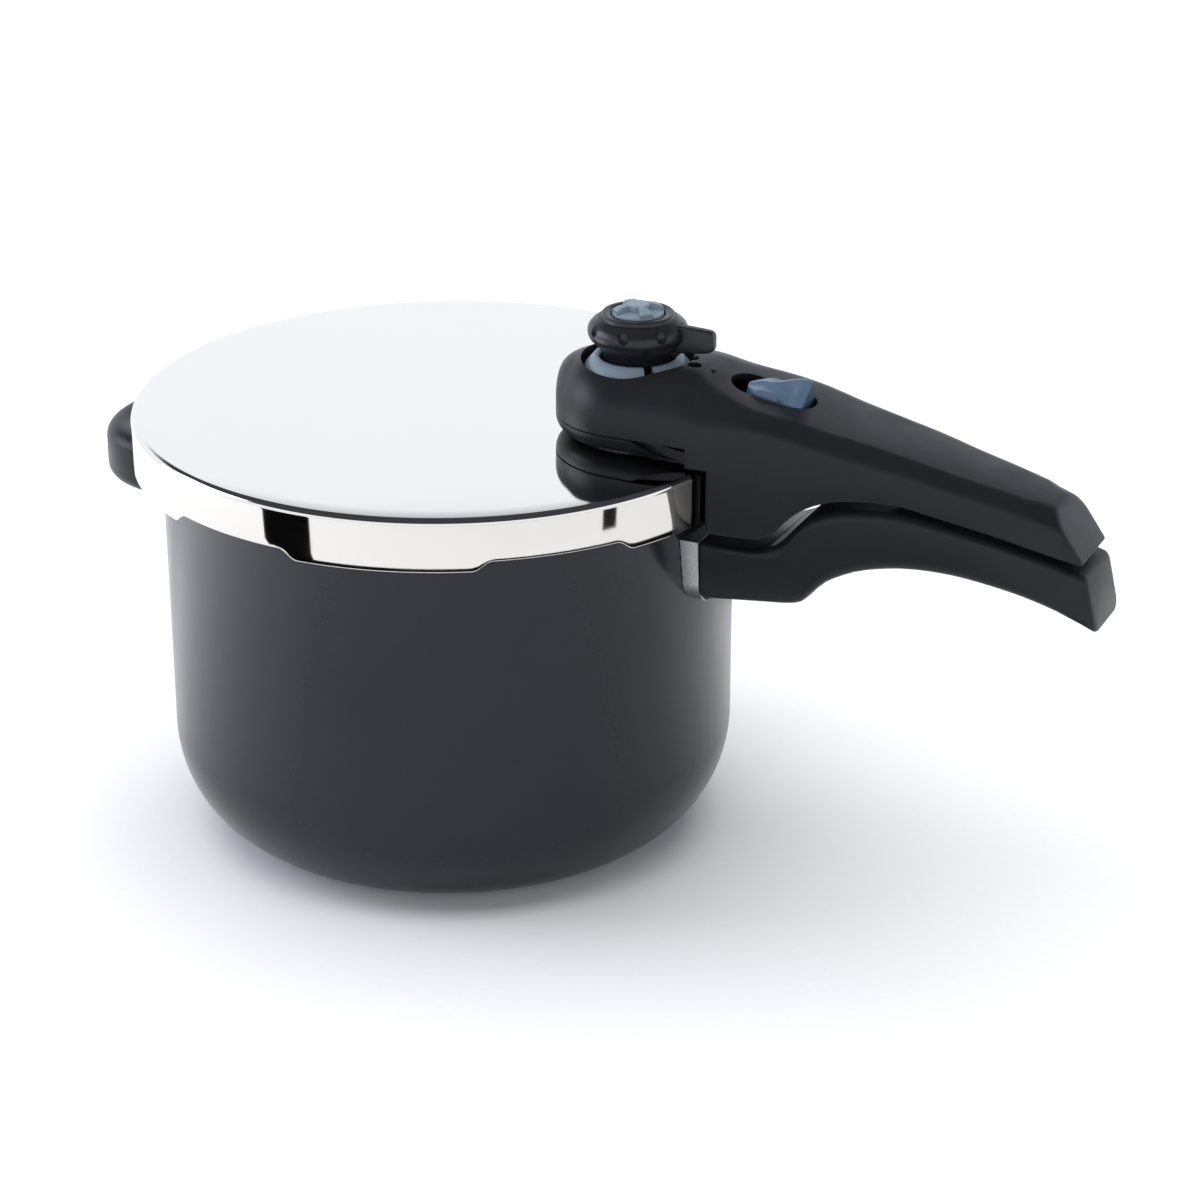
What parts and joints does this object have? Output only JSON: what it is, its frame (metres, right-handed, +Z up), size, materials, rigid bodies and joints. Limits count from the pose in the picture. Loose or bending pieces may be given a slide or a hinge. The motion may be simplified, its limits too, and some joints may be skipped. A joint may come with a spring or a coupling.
{
  "type": "stovetop pressure cooker",
  "caption": "Six litre stovetop pressure cooker: dark pot with a rounded foot, bayonet lid, paired long handles, turning control knob, lock slider and helper handle.",
  "frame": {"origin": "centre of the pot's base, on the hob", "axes": "+Z up, +X along the two long handles, so the helper handle is on -X"},
  "size_m": [0.4201, 0.246, 0.2236],
  "materials": {
    "anodised_pot": "hard-anodised, satin",
    "mirror_steel": "mirror-polished stainless sheet",
    "satin_steel": "satin pressed sheet",
    "plated_steel": "zinc-plated",
    "spring_steel": "drawn wire",
    "black_phenolic": "moulded, fine grain",
    "blue_grey_nylon": "moulded, satin",
    "red_nylon": "moulded",
    "silicone": "moulded, dull",
    "valve_brass": "turned"
  },
  "bodies": {
    "pot": {"pot_body": "anodised_pot", "handle_bracket": "plated_steel", "bracket_rivets": "plated_steel", "flame_guard": "satin_steel", "pot_handle": "black_phenolic", "pot_handle_screw": "plated_steel", "helper_bracket": "plated_steel", "helper_rivets": "plated_steel", "helper_handle": "black_phenolic", "helper_screw": "plated_steel"},
    "lid": {"lid_shell": "mirror_steel", "lid_gasket": "silicone", "lid_bracket": "plated_steel", "lid_rivets": "plated_steel", "handle_base": "black_phenolic", "base_screws": "plated_steel", "handle_shell": "black_phenolic", "shell_screws": "plated_steel", "valve_body": "valve_brass", "valve_washer": "silicone", "valve_nut": "valve_brass", "vent_screen": "plated_steel", "collar_ring": "blue_grey_nylon", "indicator_seal": "silicone", "safety_body": "valve_brass", "safety_nut": "valve_brass", "safety_cap": "valve_brass"},
    "knob": {"regulator_knob": "black_phenolic", "knob_cap": "blue_grey_nylon"},
    "plunger": {"valve_plunger": "plated_steel", "valve_spring": "spring_steel"},
    "indicator": {"indicator_pin": "red_nylon", "indicator_clip": "plated_steel"},
    "safety": {"safety_plunger": "plated_steel", "safety_spring": "spring_steel"},
    "lock": {"lock_slider": "blue_grey_nylon", "lock_bar": "plated_steel", "lock_screw": "plated_steel"}
  },
  "joints": [
    {"name": "lid_turn", "type": "hinge", "parent": "pot", "child": "lid", "pos_m": [0, 0, 0.17225], "axis": [0, 0, 1], "range_deg": [0, 30]},
    {"name": "knob_turn", "type": "hinge", "parent": "lid", "child": "knob", "pos_m": [0.08105, 0, 0.2], "axis": [0, 0, 1], "range_deg": [-90, 45]},
    {"name": "valve_lift", "type": "slide", "parent": "lid", "child": "plunger", "axis": [0, 0, 1], "range_m": [0, 0.002], "stiffness_N_per_m": 300, "springref_m": -0.002, "deforming": ["valve_spring"]},
    {"name": "indicator_rise", "type": "slide", "parent": "lid", "child": "indicator", "axis": [0, 0, 1], "range_m": [0, 0.004]},
    {"name": "safety_lift", "type": "slide", "parent": "lid", "child": "safety", "axis": [0, 0, 1], "range_m": [0, 0.0015], "stiffness_N_per_m": 1500, "springref_m": -0.002, "deforming": ["safety_spring"]},
    {"name": "lock_slide", "type": "slide", "parent": "lid", "child": "lock", "axis": [-0.9781, 0, 0.2079], "range_m": [0, 0.0065]}
  ]
}
